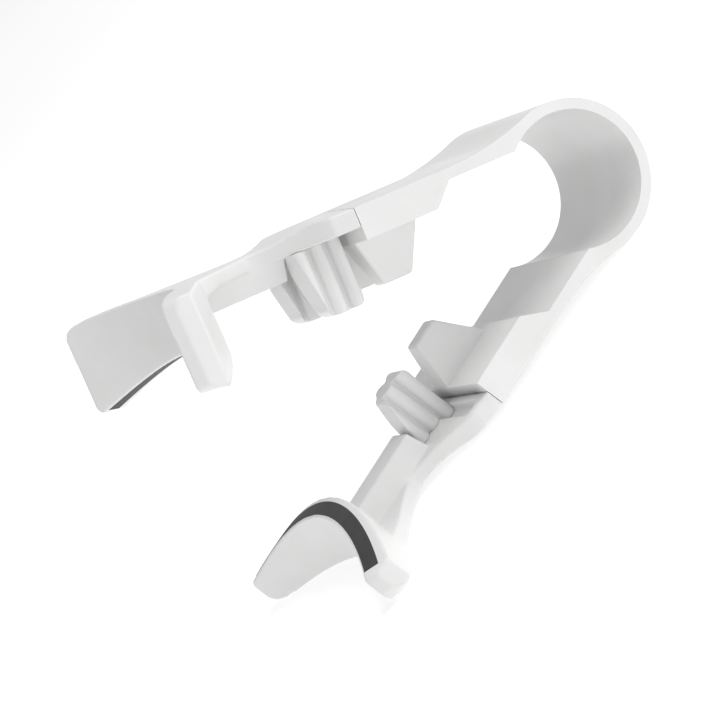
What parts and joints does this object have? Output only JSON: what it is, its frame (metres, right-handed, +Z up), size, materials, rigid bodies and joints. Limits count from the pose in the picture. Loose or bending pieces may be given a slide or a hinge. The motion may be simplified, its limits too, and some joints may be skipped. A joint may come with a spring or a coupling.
{
  "type": "lash applicator spring tongs",
  "caption": "Omega-shaped plastic spring tongs with pull-off arms and curved mating jaws, each faced with a thin magnetic strip, for placing a lash strip.",
  "frame": {"origin": "on the axis of the loop, at mid width", "axes": "+X runs towards the jaws, +Y across the width along the loop's axis, +Z up as the tongs stand"},
  "size_m": [0.0565, 0.0368, 0.036],
  "materials": {
    "white_plastic": "satin moulded white ABS",
    "magnet_strip": "matt dark grey magnetic rubber"
  },
  "bodies": {
    "bow": {"spring_loop": "white_plastic", "lower_bow_arm": "white_plastic"},
    "upper_arm": {"upper_bow_arm": "white_plastic"},
    "lower_head": {"lower_jaw_arm": "white_plastic", "lower_grip_tab": "white_plastic", "lower_magnet_strip": "magnet_strip"},
    "upper_head": {"upper_jaw_arm": "white_plastic", "upper_grip_tabs": "white_plastic", "upper_magnet_strip": "magnet_strip"}
  },
  "joints": [
    {"name": "bow_flex", "type": "hinge", "parent": "bow", "child": "upper_arm", "pos_m": [0, 0, 0], "axis": [0, 1, 0], "range_deg": [-6, 28.7], "stiffness_Nm_per_rad": 0.12, "deforming": ["spring_loop"]},
    {"name": "lower_head_slide", "type": "slide", "parent": "bow", "child": "lower_head", "axis": [0.9985, 0, -0.0541], "range_m": [0, 0.0065]},
    {"name": "upper_head_slide", "type": "slide", "parent": "upper_arm", "child": "upper_head", "axis": [0.8771, 0, 0.4802], "range_m": [0, 0.0065]}
  ]
}
